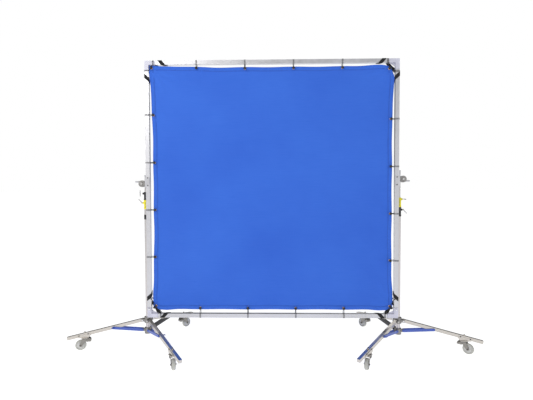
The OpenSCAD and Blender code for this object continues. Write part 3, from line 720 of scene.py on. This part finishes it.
def add_loop(cords, spot, out, rail, slide=0.0):
    """Two strands of elastic from an eyelet round a rail and back; slide shifts them along the rail."""
    across = out.cross(OUT_OF_PAGE)
    reach = rail - spot.dot(out)
    front = spot.y - FRAME_Y
    clear = TUBE / 2 + CORD_R + 0.0006

    def at(u, y, shift):
        return Vector((0, FRAME_Y + y, 0)) + out * (spot.dot(out) + u) + across * (spot.dot(across) + shift)

    for shift in (-0.0040, 0.0040):
        far = shift + slide
        corners = [at(-0.002, front - 0.014, shift * 0.4), at(reach, -clear, far),
                   at(reach + TUBE + CORD_R, -clear, far), at(reach + TUBE + CORD_R, clear, far),
                   at(reach - 0.001, clear, far), at(0.001, front + 0.007, shift * 0.5),
                   at(0.0, front - 0.011, shift * 0.4)]
        cords.tube(rounded(corners, 0.006, closed=False), CORD_R, 8)


def add_ties():
    eyelets, cords, balls = Piece(), Piece(), Piece()
    rim = [(0.0060, 0.0026), (0.0068, 0.0034), (0.0085, 0.0036), (0.0105, 0.0030), (0.0118, 0.0018),
           (0.0112, -0.0018), (0.0085, -0.0030), (0.0068, -0.0028), (0.0060, -0.0020), (0.0060, 0.0026)]
    turns = [radians(10 * n) for n in range(-7, 8)]
    bead = [(0.0024, -0.0128)] + [(BALL_R * cos(t), BALL_R * sin(t)) for t in turns] + [(0.0024, 0.0128)]

    def fasten(spot, ball_shift=Vector((0, 0, 0))):
        eyelets.lathe(rim, facing(spot, OUT_OF_PAGE), 28)
        balls.lathe(bead, facing(spot + ball_shift + OUT_OF_PAGE * BALL_OUT, OUT_OF_PAGE), 28)

    for spot, out, rail in tie_places():
        add_loop(cords, spot, out, rail)
        fasten(spot)
    for across, up in CORNERS:
        a = CORNER_EYELET_IN / CLOTH_W
        b = CORNER_EYELET_IN / CLOTH_H
        spot = cloth_point(a if across < 0 else 1 - a, b if up < 0 else 1 - b)
        side_out = Vector((across, 0, 0))
        end_out = UP * up
        side_slide = (0.070 if up < 0 else 0.026) * -up
        end_slide = (0.045 if up < 0 else 0.016) * -across
        end_rail = INNER_TOP if up > 0 else -INNER_LOW
        add_loop(cords, spot, side_out, INNER_X, side_slide * side_out.cross(OUT_OF_PAGE).z)
        add_loop(cords, spot, end_out, end_rail, end_slide * end_out.cross(OUT_OF_PAGE).x)
        fasten(spot, Vector((across, 0, up)) * (0.012 if up < 0 else 0.002))
    eyelet_piece = eyelets.build("eyelet_rings", M["brass"])
    cord_piece = cords.build("bungee_cords", M["cord_black"])
    ball_piece = balls.build("bungee_balls", BALL)
    for piece, slot in ((eyelet_piece, "brass"), (cord_piece, "cord_black"), (ball_piece, "cord_black")):
        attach(piece, "frame")
    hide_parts("grommets")
    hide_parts("bungee_ties")


STRAP_W = 0.042
STRAP_T = 0.0022
STRAP_ALONG = 0.160
STRAP_UP = {-1: 0.198, 1: 0.158}


def add_half_strap(straps, centre, out, along, middle):
    """One end of a corner strap: along the diagonal behind the cloth, then a slanting turn round its rail.
    centre is the middle of the turn's front on the rail's axis, and along points away from the corner."""
    face = TUBE / 2 + 0.0004
    back = Vector((0, 1, 0))
    marks = [(-face, face, -0.060, back), (face - 0.002, face, -0.034, back),
             (face, face - 0.002, -0.032, out), (face, 0.002 - face, -0.017, out),
             (face - 0.002, -face, -0.015, -back), (0.002 - face, -face, 0.015, -back),
             (-face, 0.002 - face, 0.017, -out), (-face, face - 0.002, 0.034, -out),
             (0.002 - face, face + 0.0026, 0.036, back), (0.010, face + 0.0026, 0.048, back)]
    spots = [(centre + out * u + back * v + along * s, along * STRAP_W, normal) for u, v, s, normal in marks]
    start = Vector((middle.x, spots[0][0].y, middle.z))
    lean = (spots[0][0] - start).normalized()
    square = lean.cross(back)
    if square.dot(along) < 0:
        square = -square
    spots.insert(0, (start, square * STRAP_W * 0.72, back))
    rows = []
    for i, (point, width, normal) in enumerate(spots):
        following = spots[min(i + 1, len(spots) - 1)]
        for n in range(3 if following[0] is not point else 1):
            t = n / 3
            here = point.lerp(following[0], t)
            wide = width.lerp(following[1], t)
            outward = normal.lerp(following[2], t).normalized() * STRAP_T
            rows.append([here - wide / 2, here - wide / 2 + outward, here - wide * 0.42 + outward * 1.3,
                         here + wide * 0.42 + outward * 1.3, here + wide / 2 + outward, here + wide / 2])
    straps.grid(rows, around=True)
    for row in (rows[0], rows[-1]):
        straps.add(row, [tuple(range(len(row)))])


def add_straps():
    straps = Piece()
    for across, up in CORNERS:
        corner = Vector((across * HALF_W, FRAME_Y, HIGH_FRAME.z if up > 0 else LOW_FRAME.z))
        level_in = Vector((-across, 0, 0))
        tall_in = Vector((0, 0, -up))
        level_centre = corner + level_in * STRAP_ALONG + tall_in * TUBE / 2
        tall_centre = corner + tall_in * STRAP_UP[up] + level_in * TUBE / 2
        middle = (level_centre + tall_centre) / 2 - (level_in + tall_in) * 0.018
        add_half_strap(straps, level_centre, -tall_in, level_in, middle)
        add_half_strap(straps, tall_centre, -level_in, tall_in, middle)
    piece = straps.build("corner_webbing", M["webbing_black"])
    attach(piece, "frame")
    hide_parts("corner_straps")


ELBOW_LEG = 0.100
SEAM_T = 0.0016


def add_frame_details():
    """Joint lines round the elbows, domed buttons, and the bolts of the ears."""
    seams, buttons, bolts = Piece(), Piece(), Piece()
    size = TUBE + 0.0012
    for across, up in CORNERS:
        x = across * (HALF_W - TUBE / 2)
        end = HIGH_FRAME.z if up > 0 else LOW_FRAME.z
        z = end - up * TUBE / 2
        seams.box((SEAM_T, size, size), Matrix.Translation((across * (HALF_W - ELBOW_LEG), FRAME_Y, z)))
        seams.box((size, size, SEAM_T), Matrix.Translation((x, FRAME_Y, end - up * ELBOW_LEG)))
        if up < 0:
            knob = Vector((x, FRAME_Y - TUBE / 2 - 0.0079, LOW_FRAME.z + 0.080))
            buttons.button(knob, OUT_OF_PAGE, 0.0086, 0.0040, 28)
        for spot in (Vector((across * (HALF_W - 0.086), FRAME_Y + TUBE / 2, z)),
                     Vector((x, FRAME_Y + TUBE / 2, z - up * 0.067))):
            bolts.button(spot, (0, 1, 0), 0.0048, 0.0028)
    low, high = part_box("frame_ears")
    middle = (low.z + high.z) / 2
    for side in (-1, 1):
        for z in (-0.036, 0.036):
            for face in (-1, 1):
                spot = Vector((side * (HALF_W - TUBE / 2), FRAME_Y + face * (TUBE / 2 + 0.0028), middle + z))
                bolts.button(spot, (0, face, 0), 0.0062, 0.0034)
    for piece, slot in ((seams.build("elbow_seams", SEAM), "corner"),
                        (buttons.build("elbow_buttons", WHITE_CAP), "corner"),
                        (bolts.build("frame_rivets", DARK_STEEL), "ear_grey")):
        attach(piece, "frame")


# ---- Casters and legs ----

WHEEL_R = 0.050
WHEEL_HALF = 0.015
LEG_SLOPE = radians(12.4)


def add_wheel(side, leg):
    """Soft tread with rounded shoulders on a ribbed nylon core, with a bearing in its hub."""
    name = f"{side}_wheel_{leg}"
    place = hinge_frame(JOINTS[f"{name}_spin"]) @ Matrix.Rotation(radians(-90), 4, "X")
    wheel = Piece()
    half = WHEEL_HALF
    tread = [(0.0375, -half + 0.0045), (0.0385, -half + 0.001), (0.0405, -half), (0.0440, -half + 0.0005),
             (0.0478, -half + 0.003), (0.0496, -half + 0.007), (WHEEL_R, -0.003), (WHEEL_R, 0.003),
             (0.0496, half - 0.007), (0.0478, half - 0.003), (0.0440, half - 0.0005), (0.0405, half),
             (0.0385, half - 0.001), (0.0375, half - 0.0045)]
    wheel.lathe(tread, place, 56)
    core = [(0.0052, -0.0170), (0.0105, -0.0170), (0.0120, -0.0160), (0.0128, -0.0100), (0.0145, -0.0085),
            (0.0345, -0.0085), (0.0360, -0.0105), (0.0378, -0.0105), (0.0378, 0.0105), (0.0360, 0.0105),
            (0.0345, 0.0085), (0.0145, 0.0085), (0.0128, 0.0100), (0.0120, 0.0160), (0.0105, 0.0170),
            (0.0052, 0.0170)]
    wheel.lathe(core, place, 48, slot=1)
    for n in range(6):
        for face in (-1, 1):
            rib = Matrix.Rotation(2 * pi * n / 6, 4, "Z") @ Matrix.Translation((0.0240, 0, face * 0.0092))
            wheel.box((0.0225, 0.0026, 0.0030), place @ rib, slot=1)
    for face in (-1, 1):
        bearing = [(0.0052, 0.0172 * face), (0.0080, 0.0175 * face), (0.0095, 0.0172 * face)]
        wheel.lathe(bearing, place, 28, slot=2)
    piece = wheel.build(f"{name}_detailed", M["wheel_grey"], WHEEL_CORE, DARK_STEEL)
    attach(piece, name)
    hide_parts(name)


def add_leg_details(side, leg):
    """The bolts of the caster's bracket and the head of the swivel's bolt, on one leg."""
    name = f"{side}_leg_{leg}"
    joint = hinge_frame(JOINTS[f"{name}_fold"])
    swivel = Vector(JOINTS[f"{side}_fork_{leg}_swivel"]["pos_m"])
    reach = (Vector((swivel.x, swivel.y, 0)) - Vector((joint.translation.x, joint.translation.y, 0))).length
    turn = joint.to_3x3()
    details = Piece()
    for face in (-1, 1):
        for x in (reach - 0.034, reach + 0.052):
            spot = joint @ Vector((x, face * 0.0188, -x * tan(LEG_SLOPE) - 0.001))
            details.button(spot, turn @ Vector((0, face, 0)), 0.0058, 0.0030)
    bolt = joint @ Vector((reach, 0, -reach * tan(LEG_SLOPE) + 0.0275))
    details.button(bolt, turn @ Vector((sin(LEG_SLOPE), 0, cos(LEG_SLOPE))), 0.0070, 0.0020, 24)
    piece = details.build(f"{name}_fasteners", DARK_STEEL)
    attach(piece, name)


def add_fork_details(side, leg):
    """Ball race with its dust lip, and the domed ends of the axle."""
    name = f"{side}_fork_{leg}"
    swivel = Vector(JOINTS[f"{name}_swivel"]["pos_m"])
    axle = hinge_frame(JOINTS[f"{side}_wheel_{leg}_spin"])
    details = Piece()
    race = [(0.0276, -0.0020), (0.0292, -0.0010), (0.0296, 0.0008), (0.0292, 0.0026), (0.0276, 0.0034)]
    details.lathe(race, Matrix.Translation((swivel.x, swivel.y, 0.1128)), 40)
    for face in (-1, 1):
        end = axle @ Vector((0, face * 0.0259, 0))
        details.button(end, axle.to_3x3() @ Vector((0, face, 0)), 0.0062, 0.0026, 24)
    piece = details.build(f"{name}_race", DARK_STEEL)
    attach(piece, name)


# ---- Stands ----

def add_stand_details(side):
    """The split line, the ribs and the screw of each collar of one stand."""
    low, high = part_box(f"{side}_column")
    axis = Vector(((low.x + high.x) / 2, (low.y + high.y) / 2, 0))
    outward = -1 if side == "left" else 1
    for body, node in (("bases", f"{side}_base_collar"), (f"{side}_riser_lower", f"{side}_upper_collar")):
        low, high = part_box(node)
        details = Piece()
        slit = Vector((0, -0.0222, 0))
        middle = (low.z + high.z) / 2
        slit_size = (SEAM_T, 0.0030, high.z - low.z - 0.004)
        details.box(slit_size, Matrix.Translation(axis + slit + UP * middle), slot=1)
        for z in (low.z + 0.007, high.z - 0.011):
            for n in range(10):
                turn = Matrix.Rotation(radians(36 * n + 18), 4, "Z")
                grip = turn @ Matrix.Translation((0.0233, 0, 0))
                details.box((0.0018, 0.0042, 0.0090), Matrix.Translation(axis + UP * z) @ grip)
        screw = axis + Vector((-outward * 0.0215, -0.0075, middle))
        details.button(screw, (-outward, -0.3, 0), 0.0042, 0.0026, 18, slot=2)
        enamel = frame["nodes"][node].material_slots[0].material
        piece = details.build(f"{node}_grips", enamel, SEAM, DARK_STEEL, bevel=0.0004)
        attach(piece, body)


paint_cad_nodes()
round_cad_edges()
add_camera()
add_world()
add_stage()
add_cloth()
add_ties()
add_straps()
add_frame_details()
for side in SIDES:
    add_stand_details(side)
    for leg in LEGS:
        add_wheel(side, leg)
        add_leg_details(side, leg)
        add_fork_details(side, leg)

bpy.context.scene.view_settings.view_transform = "Standard"
